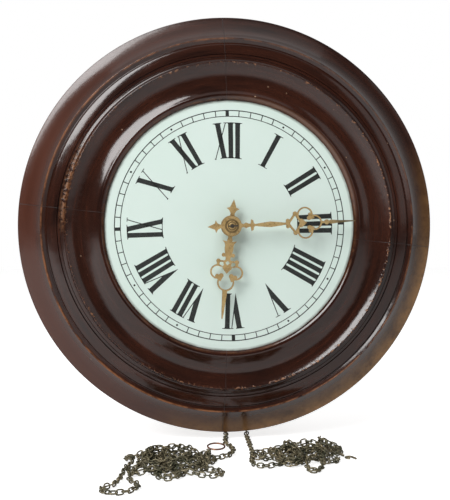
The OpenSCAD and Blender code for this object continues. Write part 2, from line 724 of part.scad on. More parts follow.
module hand_collet() color(brass) from_dial() spin(minute_hand_deg) {
  translate([0, -minute_hand_y - hand_t, 0]) rotate([90, 0, 0]) difference() {
    rotate_extrude() polygon([[arbor_r, 0], [6.5, 0], [6.5, 1], [5.2, 1.5], [4.4, 2.6], [arbor_r, 3]]);
    translate([0, 0, -1]) cylinder(r = arbor_r, h = 6);
  }
}

// the taper pin through the end of the centre arbor, lying along the minute hand
module hand_pin_shape() spin(minute_hand_deg) translate([0, -hand_pin_y, -4])
  cylinder(r1 = 0.5, r2 = 0.65, h = 9.5, $fn = 24);

module hand_pin() color(steel) from_dial() hand_pin_shape();

// chain -------------------------------------------------------------------
module chain_over_sprocket() color(chain_iron) from_dial() {
  difference() {
    at(great_at) union() {
      translate([0, -chain_y, 0]) rotate([90, 0, 0]) rotate_extrude(angle = 180)
        translate([sprocket_r, 0]) circle(tube_r);
      for (x = [-sprocket_r, sprocket_r]) translate([x, -chain_y, -12]) cylinder(r = tube_r, h = 12);
    }
    round_bar(great_at, 11.5, chain_y - 1.2, chain_y + 1.2);
  }
  for (x = [left_x, right_x]) translate([x, -chain_y, -case_down])
    cylinder(r = tube_r, h = case_down + great_at[1] - 12);
}

module chain_left() color(chain_iron) from_dial() {
  tube(left_route, tube_r);
  tube(left_tail, tube_r);
}

module chain_right() color(chain_iron) from_dial() {
  tube(right_route, tube_r);
  tube(right_loop, tube_r);
}

// a low heap of chain: rounded lumps of [x, y, radius, height] drawn together
module heap(lumps) hull() for (l = lumps) translate([l[0], l[1], -floor_drop]) {
  cylinder(r = l[2], h = l[3] * 0.6, $fn = 16);
  cylinder(r = l[2] * 0.6, h = l[3], $fn = 16);
}

module chain_left_pile() color(chain_iron) from_dial()
  heap([[-34, -180, 9, 13], [-35, -229, 8, 9], [-60, -178, 18, 18], [-70, -222, 13, 11], [-74, -190, 9, 12]]);

module chain_right_pile() color(chain_iron) from_dial()
  heap([[31, -180, 10, 18], [30, -201, 9, 12], [60, -172, 12, 13], [88, -174, 11, 11], [44, -186, 12, 14]]);

module chain_ring() color(copper) from_dial() translate([-16, -150.6, -floor_drop + 5.4]) rotate([8, 0, 0])
  rotate_extrude() translate([7.8, 0]) circle(0.8, $fn = 24);

module chain_end_hook() color(chain_iron) from_dial() translate([100, -185, -floor_drop + 1.1])
  rotate([0, 0, 20]) {
    rotate_extrude(angle = 250) translate([3.2, 0]) circle(0.9, $fn = 24);
    translate([3.2, 0, 0]) rotate([90, 0, 0]) cylinder(r = 0.9, h = 6);
  }

surround_moulding();
surround_screws();
backing_board();
dial_plate();
dial_backing();
dial_clips();
case_back();
case_top();
case_bottom();
case_rails();
case_screws();
hanger_plate();
left_door();
left_door_knob();
left_door_hinges();
right_door();
right_door_knob();
right_door_hinges();
case_hinges();
seat_board();
seat_bolts();
movement_front_plate();
movement_back_plate();
movement_pillars();
pillar_nuts();
great_arbor();
great_wheel();
chain_sprocket();
ratchet_wheel();
click();
click_spring();
centre_arbor();
centre_wheel();
third_arbor();
third_wheel();
escape_arbor();
escape_wheel();
anchor_arbor();
anchor();
crutch();
suspension_cock();
cock_screws();
pendulum_rod();
pendulum_bob();
rating_nut();
cannon_pinion();
minute_wheel();
minute_stud();
hour_wheel();
hour_hand();
minute_hand();
hand_collet();
hand_pin();
chain_over_sprocket();
chain_left();
chain_left_pile();
chain_ring();
chain_right();
chain_right_pile();
chain_end_hook();
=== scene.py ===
"""Round mahogany wall clock with pierced hands and loose chain ends, on a plain floor."""
import json
import math
import random

import bpy
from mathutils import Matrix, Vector

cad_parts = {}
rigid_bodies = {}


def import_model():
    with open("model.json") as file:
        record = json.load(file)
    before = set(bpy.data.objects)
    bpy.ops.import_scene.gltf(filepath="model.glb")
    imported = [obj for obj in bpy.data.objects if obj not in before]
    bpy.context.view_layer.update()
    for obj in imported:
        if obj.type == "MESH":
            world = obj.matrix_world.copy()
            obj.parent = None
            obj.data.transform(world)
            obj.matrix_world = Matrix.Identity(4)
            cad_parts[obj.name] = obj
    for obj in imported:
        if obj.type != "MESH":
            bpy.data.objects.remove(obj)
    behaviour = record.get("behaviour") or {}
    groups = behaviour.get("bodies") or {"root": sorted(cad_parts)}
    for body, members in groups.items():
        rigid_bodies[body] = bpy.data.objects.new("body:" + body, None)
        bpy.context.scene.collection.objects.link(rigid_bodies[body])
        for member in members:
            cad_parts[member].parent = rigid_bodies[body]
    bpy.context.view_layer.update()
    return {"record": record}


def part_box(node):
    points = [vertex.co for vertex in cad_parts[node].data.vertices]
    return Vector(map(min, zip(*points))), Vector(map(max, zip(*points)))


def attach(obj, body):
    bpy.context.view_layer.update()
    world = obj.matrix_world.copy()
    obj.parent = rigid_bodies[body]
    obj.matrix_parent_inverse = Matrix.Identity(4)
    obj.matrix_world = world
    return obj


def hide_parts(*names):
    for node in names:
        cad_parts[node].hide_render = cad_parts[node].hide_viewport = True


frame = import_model()

MM = 0.001

# ---------------------------------------------------------------- places from the frame
dial_lo, dial_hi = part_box("dial_plate")
AXIS_X = (dial_lo.x + dial_hi.x) / 2
AXIS_Z = (dial_lo.z + dial_hi.z) / 2
DIAL_Y = dial_lo.y
BACK_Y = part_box("surround_moulding")[1].y
FLOOR_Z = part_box("chain_left_pile")[0].z


def from_dial(x, y, z):
    """A point in metres from one in millimetres about the dial axis and the wall."""
    return Vector((AXIS_X + x * MM, y * MM, AXIS_Z + z * MM))


# ---------------------------------------------------------------- camera
SILHOUETTE_Y = BACK_Y - 4 * MM
CAMERA_DISTANCE = 0.900
CAMERA_AZIMUTH = math.radians(5.5)
LENS = 67.1184
AIM_LEFT, AIM_DOWN = math.radians(0.17517), math.radians(1.47478)  # from the dial's centre

cam = bpy.data.objects.new("camera", bpy.data.cameras.new("camera"))
bpy.context.scene.collection.objects.link(cam)
bpy.context.scene.camera = cam
cam.data.lens = LENS
cam.data.sensor_width = 36
cam.location = (AXIS_X - CAMERA_DISTANCE * math.tan(CAMERA_AZIMUTH), SILHOUETTE_Y - CAMERA_DISTANCE, AXIS_Z)
cam.rotation_euler = (math.pi / 2 - AIM_DOWN, 0, AIM_LEFT - CAMERA_AZIMUTH)
cam.data.clip_start, cam.data.clip_end = 0.05, 30


# ---------------------------------------------------------------- mesh helpers
def add_object(name, verts, faces, material, body="case", smooth=True):
    """A mesh object of one material, riding on a body."""
    mesh = bpy.data.meshes.new(name)
    mesh.from_pydata([tuple(v) for v in verts], [], faces)
    mesh.materials.append(material)
    mesh.polygons.foreach_set("use_smooth", [smooth] * len(mesh.polygons))
    mesh.update()
    obj = bpy.data.objects.new(name, mesh)
    bpy.context.scene.collection.objects.link(obj)
    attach(obj, body)
    return obj


# ---------------------------------------------------------------- materials
class Shader:
    """A Principled material and short ways to add nodes to it."""

    def __init__(self, name, color=(0.5, 0.5, 0.5), rough=0.5, metal=0.0, **sockets):
        self.mat = bpy.data.materials.new(name)
        self.mat.use_nodes = True
        self.tree = self.mat.node_tree
        self.bsdf = self.tree.nodes["Principled BSDF"]
        self.bsdf.inputs["Base Color"].default_value = (*color, 1)
        self.bsdf.inputs["Roughness"].default_value = rough
        self.bsdf.inputs["Metallic"].default_value = metal
        for key, value in sockets.items():
            self.bsdf.inputs[key.replace("_", " ")].default_value = value

    def node(self, kind, inputs=(), **props):
        n = self.tree.nodes.new(kind)
        for k, v in props.items():
            setattr(n, k, v)
        for k, v in dict(inputs).items():
            if isinstance(v, bpy.types.NodeSocket):
                self.tree.links.new(v, n.inputs[k])
            else:
                n.inputs[k].default_value = v
        return n

    def link(self, out, name):
        self.tree.links.new(out, self.bsdf.inputs[name])

    def position(self):
        return self.node("ShaderNodeTexCoord").outputs["Object"]

    def math(self, op, a, b=0.0):
        return self.node("ShaderNodeMath", {0: a, 1: b}, operation=op).outputs[0]

    def noise(self, vector, scale, detail=3.0, rough=0.55, distortion=0.0):
        n = self.node("ShaderNodeTexNoise", {"Vector": vector, "Scale": scale, "Detail": detail,
                                             "Roughness": rough, "Distortion": distortion})
        return n.outputs["Fac"]

    def span(self, value, low, high, to_low=0.0, to_high=1.0):
        """The value from low to high, stretched to the new span and held at its ends."""
        n = self.node("ShaderNodeMapRange", {"Value": value, "From Min": low, "From Max": high,
                                             "To Min": to_low, "To Max": to_high})
        return n.outputs["Result"]

    def mix(self, fac, a, b):
        n = self.node("ShaderNodeMix", data_type="RGBA")
        for key, v in ((0, fac), (6, a), (7, b)):
            if isinstance(v, bpy.types.NodeSocket):
                self.tree.links.new(v, n.inputs[key])
            else:
                n.inputs[key].default_value = v if key == 0 else (*v, 1)
        return n.outputs[2]

    def bump(self, height, strength, distance, before=None):
        inputs = {"Height": height, "Strength": strength, "Distance": distance}
        if before is not None:
            inputs["Normal"] = before
        return self.node("ShaderNodeBump", inputs).outputs["Normal"]

    def polar(self):
        """A point's radius from the dial axis in mm, its unit direction from there, and its place about it."""
        p = self.node("ShaderNodeVectorMath", {0: self.position(), 1: (AXIS_X, 0, AXIS_Z)},
                      operation="SUBTRACT").outputs[0]
        flat = self.node("ShaderNodeVectorMath", {0: p, 1: (1, 0, 1)}, operation="MULTIPLY").outputs[0]
        r = self.node("ShaderNodeVectorMath", {0: flat}, operation="LENGTH").outputs["Value"]
        unit = self.node("ShaderNodeVectorMath", {0: flat}, operation="NORMALIZE").outputs[0]
        return self.math("MULTIPLY", r, 1000.0), unit, p

    def near(self, value, centre, width):
        """1 at centre, falling to 0 at width either side."""
        gap = self.math("ABSOLUTE", self.math("SUBTRACT", value, centre))
        return self.span(gap, 0.0, width, 1.0, 0.0)


# radii in mm where the colour changes: the surround's worn edges and its grooves, which carry painted shade,
# the dial's edge, which carries a painted shadow of the lip, and the minute hand's tip
ARRIS_R, RIDGE_R, LIP_R = 176.9, 153.2, 119.6
GROOVE_R = (161.6, 158.75)
DIAL_EDGE_R = (115.6, 118.2)
TIP_R = (88.0, 104.0)


def mahogany():
    """French-polished ring with worn edges and patches, specks, dark joint lines, painted light at the left of
    the outer band, a painted golden reflection at its lower right and painted shade in the grooves.
    """
    s = Shader("polished_mahogany", rough=0.2, Coat_Weight=0.22, Coat_Roughness=0.07, IOR=1.5)
    r, unit, p = s.polar()
    # grain follows the ring: slow change along it, quick change across it
    across = s.math("MULTIPLY", r, 0.001)
    x, _, z = s.node("ShaderNodeSeparateXYZ", {0: unit}).outputs
    lane = s.node("ShaderNodeCombineXYZ", {0: s.math("MULTIPLY", x, 0.12), 1: across,
                                           2: s.math("MULTIPLY", z, 0.12)}).outputs[0]
    lane = s.node("ShaderNodeVectorMath", {0: lane, 1: (1, 9, 1)}, operation="MULTIPLY").outputs[0]
    coarse = s.noise(lane, 26.0, 4.0, 0.6)
    fine = s.noise(lane, 170.0, 3.0, 0.7)
    cloud = s.noise(p, 9.0, 3.0, 0.6)
    patch = s.noise(p, 55.0, 4.0, 0.7)
    chip = s.noise(p, 330.0, 2.0, 0.6)
    color = s.mix(s.span(coarse, 0.3, 0.72), (0.013, 0.0040, 0.0024), (0.042, 0.0120, 0.0062))
    color = s.mix(s.math("MULTIPLY", s.span(cloud, 0.45, 0.75), 0.55), color, (0.064, 0.0175, 0.0085))
    color = s.mix(s.math("MULTIPLY", s.span(fine, 0.50, 0.66), 0.35), color, (0.009, 0.003, 0.0024))

    def toward(degrees, low, high):
        """1 on the side of the ring that lies clockwise from 12 by the angle."""
        a = math.radians(degrees)
        side = s.math("ADD", s.math("MULTIPLY", x, math.sin(a)), s.math("MULTIPLY", z, math.cos(a)))
        return s.span(side, low, high)

    # painted light: the outer band is painted brighter and redder at the left, its lit side
    lit_left_red = s.math("MULTIPLY", s.span(r, 174.0, 184.0), toward(262, -0.1, 0.9))
    color = s.mix(s.math("MULTIPLY", lit_left_red, 0.65), color, (0.088, 0.026, 0.014))
    # polish worn through on the outer band at the lower right, with a painted golden reflection laid over the
    # same patch, and on the lip, at the upper right
    worn_and_sheen = s.math("MULTIPLY", s.near(r, 198.0, 19.0), toward(135, 0.35, 0.92))
    worn_and_sheen = s.math("MULTIPLY", worn_and_sheen, s.span(patch, 0.20, 0.62))
    color = s.mix(worn_and_sheen, color, (0.30, 0.155, 0.055))
    scuff = s.math("MULTIPLY", s.near(r, 157.0, 4.5), toward(284, 0.955, 0.995))
    scuff = s.math("MULTIPLY", scuff, s.span(chip, 0.40, 0.58))
    color = s.mix(s.math("MULTIPLY", scuff, 0.85), color, (0.24, 0.10, 0.036))
    browned = s.math("MULTIPLY", s.near(r, 120.6, 3.4), toward(40, 0.70, 0.96))
    color = s.mix(s.math("MULTIPLY", browned, 0.6), color, (0.16, 0.078, 0.045))
    # wear along the arris, the ridge and the lip
    wear = s.math("MULTIPLY", s.near(r, ARRIS_R, 1.25), s.span(patch, 0.38, 0.60))
    wear = s.math("MULTIPLY", wear, toward(235, -1.6, 0.2))
    color = s.mix(s.math("MULTIPLY", wear, 0.9), color, (0.31, 0.115, 0.038))
    ridge = s.math("MULTIPLY", s.near(r, RIDGE_R, 1.9), s.span(chip, 0.54, 0.64))
    ridge = s.math("MULTIPLY", ridge, s.math("ADD", s.span(patch, 0.40, 0.56), toward(125, 0.2, 0.9)))
    color = s.mix(s.math("MULTIPLY", ridge, 0.8), color, (0.28, 0.12, 0.05))
    lip = s.math("MULTIPLY", s.near(r, LIP_R, 1.6), s.span(patch, 0.42, 0.62))
    color = s.mix(s.math("MULTIPLY", lip, 0.45), color, (0.20, 0.085, 0.035))
    specks = s.node("ShaderNodeTexVoronoi", {"Vector": p, "Scale": 62.0}).outputs["Distance"]
    speck = s.math("MULTIPLY", s.span(specks, 0.035, 0.06, 1.0, 0.0), s.span(cloud, 0.52, 0.60))
    color = s.mix(s.math("MULTIPLY", speck, 0.7), color, (0.40, 0.25, 0.15))
    # joint lines between the ring's segments, near 12, 3, 6 and 9, and painted shade in the grooves
    wander = s.math("MULTIPLY", s.math("SUBTRACT", s.noise(p, 40.0, 2.0), 0.5), 0.010)
    level = s.math("ADD", z, s.math("MULTIPLY", x, 0.105))
    joint = s.math("MAXIMUM", s.near(s.math("ADD", x, wander), -0.030, 0.0030),
                   s.near(s.math("ADD", level, wander), 0.0, 0.0030))
    groove = s.math("MAXIMUM", s.near(r, GROOVE_R[0], 0.6), s.near(r, GROOVE_R[1], 0.35))
    joints_and_groove_shade = s.math("MAXIMUM", joint, groove)
    color = s.mix(s.math("MULTIPLY", joints_and_groove_shade, 0.8), color, (0.006, 0.0025, 0.0025))
    s.link(color, "Base Color")
    edges = s.math("MAXIMUM", wear, s.math("MINIMUM", ridge, 1.0))
    dull = s.math("MAXIMUM", edges, s.math("MAXIMUM", speck, scuff))
    matt = s.math("MULTIPLY", s.math("MAXIMUM", dull, joints_and_groove_shade), 0.35)
    rough = s.math("ADD", s.span(cloud, 0.3, 0.8, 0.10, 0.18), matt)
    s.link(s.math("ADD", rough, s.span(r, 180.0, 188.0, 0.0, 0.12)), "Roughness")
    ripple = s.noise(p, 60.0, 2.0, 0.5)
    n = s.bump(ripple, 0.10, 0.002)
    n = s.bump(fine, 0.05, 0.0004, n)
    n = s.bump(s.math("SUBTRACT", 1.0, dull), 0.3, 0.0006, n)
    s.link(n, "Normal")
    return s.mat


def pale_wood(name, dark, light):
    """Planed board with its grain upright."""
    s = Shader(name, rough=0.55)
    p = s.position()
    v = s.node("ShaderNodeVectorMath", {0: p, 1: (1, 1, 0.09)}, operation="MULTIPLY").outputs[0]
    grain = s.noise(v, 95.0, 4.0, 0.65, 0.6)
    fine = s.noise(v, 620.0, 2.0, 0.6)
    cloud = s.noise(p, 7.0, 2.0)
    color = s.mix(s.span(grain, 0.33, 0.68), dark, light)
    color = s.mix(s.math("MULTIPLY", s.span(fine, 0.52, 0.7), 0.3), color, tuple(c * 0.45 for c in dark))
    color = s.mix(s.math("MULTIPLY", s.span(cloud, 0.45, 0.8), 0.35), color, tuple(c * 0.6 for c in dark))
    s.link(color, "Base Color")
    s.link(s.span(grain, 0.3, 0.7, 0.62, 0.46), "Roughness")
    s.link(s.bump(s.mix(0.5, grain, fine), 0.2, 0.0004), "Normal")
    return s.mat


def enamel():
    """Painted dial: faintly clouded white, a few specks, and a painted shadow mottled with dirt under the
    surround's lip.
    """
    s = Shader("dial_enamel", rough=0.22, Coat_Weight=0.25, Coat_Roughness=0.10)
    p = s.position()
    cloud = s.noise(p, 11.0, 3.0, 0.6)
    fine = s.noise(p, 240.0, 2.0, 0.6)
    color = s.mix(s.span(cloud, 0.35, 0.75), (0.70, 0.815, 0.755), (0.665, 0.795, 0.725))
    spots = s.node("ShaderNodeTexVoronoi", {"Vector": p, "Scale": 36.0}).outputs["Distance"]
    mark = s.math("MULTIPLY", s.span(spots, 0.016, 0.032, 1.0, 0.0), s.span(cloud, 0.55, 0.62))
    color = s.mix(s.math("MULTIPLY", mark, 0.4), color, (0.36, 0.36, 0.28))
    r = s.polar()[0]
    shadow_and_dirt_mottle = s.noise(p, 75.0, 3.0, 0.6)
    # painted shadow of the surround's lip on the dial's edge, mottled with dirt
    edge = s.math("MULTIPLY", s.span(r, *DIAL_EDGE_R), s.span(shadow_and_dirt_mottle, 0.25, 0.6, 0.35, 0.9))
    color = s.mix(edge, color, (0.10, 0.085, 0.06))
    s.link(color, "Base Color")
    s.link(s.span(cloud, 0.3, 0.8, 0.20, 0.30), "Roughness")
    s.link(s.bump(s.mix(0.7, cloud, fine), 0.03, 0.002), "Normal")
    return s.mat


def ink():
    """Black print with slightly uneven cover."""
    s = Shader("dial_ink", (0.012, 0.014, 0.013), rough=0.42)
    p = s.position()
    n = s.noise(p, 900.0, 3.0, 0.7)
    s.link(s.mix(s.span(n, 0.42, 0.66), (0.010, 0.012, 0.011), (0.030, 0.034, 0.031)), "Base Color")
    s.link(s.span(n, 0.3, 0.7, 0.36, 0.5), "Roughness")
    return s.mat


def metal(name, dark, light, rough=0.35, scale=1.0, streak=(1, 1, 1), tarnish=None, metallic=1.0):
    """Clouded metal with fine marks, drawn out by streak, and spots of tarnish if a colour is given."""
    s = Shader(name, rough=rough, metal=metallic)
    p = s.position()
    v = s.node("ShaderNodeVectorMath", {0: p, 1: streak}, operation="MULTIPLY").outputs[0]
    fine = s.noise(v, 900.0 * scale, 3.0, 0.65)
    cloud = s.noise(p, 120.0 * scale, 3.0, 0.6)
    color = s.mix(s.span(cloud, 0.32, 0.68), dark, light)
    if tarnish:
        spots = s.noise(p, 420.0 * scale, 3.0, 0.7)
        color = s.mix(s.math("MULTIPLY", s.span(spots, 0.50, 0.68), 0.75), color, tarnish)
    s.link(color, "Base Color")
    s.link(s.span(cloud, 0.3, 0.7, rough * 1.25, rough * 0.8), "Roughness")
    s.link(s.bump(fine, 0.12, 0.0002), "Normal")
    return s.mat


FLOOR_GLOW = 0.72  # whitens the floor for the camera alone, so it doesn't light the clock from below


def floor_material():
    """Matt white."""
    s = Shader("floor", (0.8, 0.8, 0.8), rough=0.6, Emission_Color=(1, 1, 1, 1))
    n = s.noise(s.position(), 3.0, 2.0)
    s.link(s.mix(n, (0.78, 0.78, 0.78), (0.80, 0.80, 0.80)), "Base Color")
    seen = s.node("ShaderNodeLightPath").outputs["Is Camera Ray"]
    s.link(s.math("MULTIPLY", seen, FLOOR_GLOW), "Emission Strength")
    return s.mat


def hand_brass(name, rings=()):
    """Stamped brass, browner towards the minute hand's tip, with painted shade in turned rings of (radius,
    width).
    """
    s = Shader(name, rough=0.42, metal=0.5)
    r, _, p = s.polar()
    cloud = s.noise(p, 95.0, 3.0, 0.6)
    spots = s.noise(p, 340.0, 3.0, 0.7)
    fine = s.noise(p, 1500.0, 2.0, 0.6)
    color = s.mix(s.span(cloud, 0.32, 0.68), (0.43, 0.285, 0.110), (0.62, 0.440, 0.200))
    color = s.mix(s.math("MULTIPLY", s.span(spots, 0.50, 0.68), 0.7), color, (0.22, 0.135, 0.050))
    color = s.mix(s.math("MULTIPLY", s.span(r, *TIP_R), 0.85), color, (0.115, 0.095, 0.050))
    # painted shade in the collet's turned grooves
    for radius, width in rings:
        color = s.mix(s.math("MULTIPLY", s.near(r, radius, width), 0.9), color, (0.060, 0.042, 0.018))
    s.link(color, "Base Color")
    s.link(s.span(cloud, 0.3, 0.7, 0.52, 0.36), "Roughness")
    s.link(s.bump(fine, 0.12, 0.0002, s.bump(cloud, 0.15, 0.001)), "Normal")
    return s.mat


MAHOGANY = mahogany()
SOFTWOOD = pale_wood("oiled_softwood", (0.20, 0.105, 0.045), (0.40, 0.245, 0.12))
ENAMEL = enamel()
INK = ink()
BRASS = metal("movement_brass", (0.42, 0.29, 0.115), (0.60, 0.44, 0.20), 0.34, streak=(1, 1, 6))
HAND_FACE = hand_brass("hand_brass")
COLLET_FACE = hand_brass("collet_brass", ((6.3, 0.7), (5.3, 0.55), (3.6, 0.55), (1.8, 0.5)))
# a dark copy of the hands' brass: painted shade for their rounded edges
HAND_EDGE_SHADE = metal("hand_edge_shade", (0.045, 0.030, 0.014), (0.12, 0.078, 0.034), 0.5, metallic=0.5)
DARK_STEEL = metal("dark_steel", (0.045, 0.042, 0.038), (0.12, 0.11, 0.10), 0.36, metallic=0.8)
STEEL = metal("bright_steel", (0.33, 0.33, 0.34), (0.52, 0.52, 0.54), 0.32, streak=(6, 1, 1))
CHAIN = metal("chain_tarnish", (0.070, 0.074, 0.044), (0.300, 0.245, 0.150), 0.42, metallic=0.5,
              tarnish=(0.034, 0.042, 0.027), scale=0.9)
COPPER = metal("ring_copper", (0.20, 0.085, 0.048), (0.42, 0.215, 0.135), 0.36, metallic=0.8,
               tarnish=(0.12, 0.055, 0.035))

SLOT_MATERIAL = {"mahogany": MAHOGANY, "beech": SOFTWOOD, "enamel": ENAMEL, "brass": BRASS,
                 "hand_brass": HAND_FACE, "steel": STEEL, "chain_iron": CHAIN, "copper": COPPER}
for part in frame["record"]["subparts"]:
    node = bpy.data.objects[part["node"]]
    node.data.materials.clear()
    node.data.materials.append(SLOT_MATERIAL[part["material_slot"]])
for name in ("centre_arbor", "hand_pin"):
    bpy.data.objects[name].data.materials[0] = DARK_STEEL


# ---------------------------------------------------------------- chain
LINK_WIRE = 1.35 * MM
LINK_W = 5.4 * MM
LINK_L = 8.0 * MM
PITCH = LINK_L - 2 * LINK_WIRE
WIRE_SIDES = 6
BEND_STEPS = 6
ROLL_PLAY = 0.35  # radians that a link rolls off its quarter turn, at most
TILT_PLAY = 0.12
CURVE_STEPS = 8
STEP = 3 * MM
TURN = 0.26  # radians of turn in one step while wandering, at most
TURN_GROWTH = 0.004  # added to that limit at each step towards a heap's way out
TURN_KEPT, TURN_NOISE = 0.86, 0.15  # how much of a turn carries over to the next step, and what is added
FACING = 0.2  # radians: a peak this nearly ahead doesn't choose the side to turn to
WALL_REACH = 7 * MM  # how far ahead the wandering line looks for the heap's edge
ARRIVAL = 4 * MM  # a way out this near counts as reached
RUN_IN = 16 * MM  # straight run before the loop outside a heap
FINE_STEP = 2 * MM
ROUTE_PASSES, LAID_PASSES = 14, 2  # smoothing before and after the line is laid on itself
CROSSING = 4.6 * MM  # runs nearer than this in plan lie on each other
CROSSING_RISE = 2.9 * MM
NEXT_LINKS = 4  # points this near along the chain don't count as crossing


def resample(points, step):
    """Points a fixed distance apart along a polyline."""
    out = [points[0].copy()]
    left = step
    for a, b in zip(points, points[1:]):
        d = (b - a).length
        at = left
        while at <= d:
            out.append(a.lerp(b, at / d))
            at += step
        left = at - d
    return out


def smooth_line(points):
    """A Catmull-Rom curve through the points."""
    out = []
    for i in range(len(points) - 1):
        p0, p1 = points[max(i - 1, 0)], points[i]
        p2, p3 = points[i + 1], points[min(i + 2, len(points) - 1)]
        for k in range(CURVE_STEPS):
            t = k / CURVE_STEPS
            out.append(0.5 * (2 * p1 + (p2 - p0) * t + (2 * p0 - 5 * p1 + 4 * p2 - p3) * t * t
                              + (3 * p1 - p0 - 3 * p2 + p3) * t ** 3))
    out.append(points[-1].copy())
    return out


def link_shape():
    """Rings of one oval link along X, as (centre, outward) pairs."""
    straight = LINK_L - LINK_W
    bend = (LINK_W - LINK_WIRE) / 2
    ring = []
    for end in (1, -1):
        for k in range(BEND_STEPS + 1):
            a = -math.pi / 2 + math.pi * k / BEND_STEPS
            out = Vector((math.cos(a), math.sin(a), 0)) * end
            ring.append((Vector((end * straight / 2, 0, 0)) + out * bend, out))
    return ring


def chain_mesh(name, line, seed):
    """Wire links, each turned a quarter from the last, along evenly spaced points."""
    rng = random.Random(seed)
    ring = link_shape()
    verts, faces = [], []
    count = len(line) - 1
    up = Vector((0, 0, 1))
    side = None
    for i in range(count):
        a, b = line[i], line[i + 1]
        d = (b - a).normalized()
        if side is None:
            side = d.cross(up)
            if side.length < 0.2:
                side = Vector((1, 0, 0))
            side.normalize()
        side = (side - d * side.dot(d)).normalized()
        roll = (math.pi / 2) * (i % 2) + rng.uniform(-ROLL_PLAY, ROLL_PLAY)
        axis_y = side * math.cos(roll) + d.cross(side) * math.sin(roll)
        axis_z = d.cross(axis_y)
        tilt = rng.uniform(-TILT_PLAY, TILT_PLAY)
        d2 = (d * math.cos(tilt) + axis_y * math.sin(tilt)).normalized()
        axis_y = axis_z.cross(d2)
        mid = (a + b) / 2
        base = len(verts)
        for c, out in ring:
            w = d2 * out.x + axis_y * out.y
            centre = mid + d2 * c.x + axis_y * c.y
            for k in range(WIRE_SIDES):
                t = 2 * math.pi * k / WIRE_SIDES
                verts.append(centre + (w * math.cos(t) + axis_z * math.sin(t)) * LINK_WIRE / 2)
        n = len(ring)
        for j in range(n):
            here, there = base + j * WIRE_SIDES, base + (j + 1) % n * WIRE_SIDES
            for k in range(WIRE_SIDES):
                e = (k + 1) % WIRE_SIDES
                faces.append((here + k, there + k, there + e, here + e))
    return add_object(name, verts, faces, CHAIN)


def settle(points, first):
    """Lays points in order on the floor and on what already lies there."""
    laid = []
    for i, p in enumerate(points):
        z = p.z
        if i >= first:
            for j in range(0, i - NEXT_LINKS):
                q = laid[j]
                gap = math.hypot(p.x - q.x, p.y - q.y)
                if gap < CROSSING:
                    z = max(z, q.z + CROSSING_RISE * (1 - 0.35 * (gap / CROSSING) ** 2))
        laid.append(Vector((p.x, p.y, z)))
        for j in range(i - 1, first, -1):
            least = laid[j + 1].z - 0.5 * (laid[j + 1] - laid[j]).xy.length - 0.2 * MM
            if laid[j].z >= least:
                break
            laid[j].z = least
    return laid


def heap_route(outline, peak, seed, length, start, ends, onward, shrink):
    """A wandering line of about the given length inside an outline that draws in towards a peak.

    It leaves start in the onward direction and then passes each of the ends in turn.
    """
    rng = random.Random(seed)
    peak = Vector(peak)

    def inside(x, y, scale):
        x, y = peak.x + (x - peak.x) / scale, peak.y + (y - peak.y) / scale
        hit = False
        for (x1, y1), (x2, y2) in zip(outline, outline[1:] + outline[:1]):
            if (y1 > y) != (y2 > y) and x < (x2 - x1) * (y - y1) / (y2 - y1) + x1:
                hit = not hit
        return hit

    def off_course(place):
        want = math.atan2(place.y - at.y, place.x - at.x)
        return (want - heading + math.pi) % (2 * math.pi) - math.pi

    at = start.xy.copy()
    heading = math.atan2(onward.y, onward.x)
    route = [Vector((at.x, at.y, start.z))]
    turn = 0.0
    while len(route) * STEP < length:
        turn = max(-TURN, min(TURN, TURN_KEPT * turn + rng.gauss(0, TURN_NOISE)))
        ahead = at + Vector((math.cos(heading), math.sin(heading))) * WALL_REACH
        if not inside(ahead.x, ahead.y, 1 - shrink * len(route) * STEP / length):
            gap = off_course(peak)
            turn = math.copysign(TURN, gap if abs(gap) > FACING else turn or 1)
        heading += turn
        at = at + Vector((math.cos(heading), math.sin(heading))) * STEP
        route.append(Vector((at.x, at.y, start.z)))
    for goal in ends:
        limit = TURN
        while (goal.xy - at).length > ARRIVAL:
            limit += TURN_GROWTH
            heading += max(-limit, min(limit, off_course(goal)))
            at = at + Vector((math.cos(heading), math.sin(heading))) * STEP
            route.append(Vector((at.x, at.y, start.z)))
    return route


# points in mm about the dial axis and the wall, the same as part.scad's
LEFT_ROUTE = [(-0.1, -70, -148), (-0.1, -70, -158), (-0.1, -70, -169), (-0.2, -71.5, -180),
    (-0.4, -75, -190), (-0.8, -81, -198.5), (-1.3, -89, -203.2), (-1.9, -98, -204.3), (-3, -108, -204.3),
    (-5.4, -119, -204.3), (-5.6, -129, -204.3), (-1.6, -138, -204.3), (0.2, -148, -204.3),
    (-0.6, -159, -204.3), (-3.6, -170, -204.3), (-10.4, -178, -204.3), (-20, -182, -204.3)]
LEFT_TAIL = [(-88.5, -184, -204.3), (-92.5, -196, -204.3), (-96, -210, -204.3), (-99.5, -226, -204.3),
    (-102, -241, -204.3), (-104.5, -254, -204.3), (-106.5, -263, -204.3), (-111.5, -264.5, -203.5),
    (-116.5, -268.5, -203), (-118.8, -275.5, -203.6), (-115.5, -281, -204.3), (-109, -283, -204.3),
    (-102.5, -282.4, -204.3), (-96.5, -281, -204.3), (-91, -276.5, -204.3), (-87, -269.5, -204.3),
    (-85, -261.5, -204.3), (-88, -254.5, -204.3), (-93.5, -251, -204.3), (-96.3, -244.5, -204.3),
    (-94.5, -237, -204.3), (-91.5, -229.5, -204.3), (-89.5, -221, -204.3), (-88, -213, -204.3)]
RIGHT_ROUTE = [(20.1, -70, -148), (20.1, -70, -158), (20.1, -70, -169), (20, -72, -180), (19.7, -76, -190),
    (19.3, -82, -198.5), (18.7, -90, -203.2), (18.1, -101, -204.3), (17.6, -113, -204.3),
    (17.2, -125, -204.3), (16.8, -137, -204.3), (16.4, -149, -204.3), (15.9, -161, -204.3),
    (15.1, -173, -204.3), (13.2, -185, -204.3), (11, -196, -204.3), (10.2, -206, -204.3),
    (13.5, -213.5, -204.3), (21, -215, -204.3)]
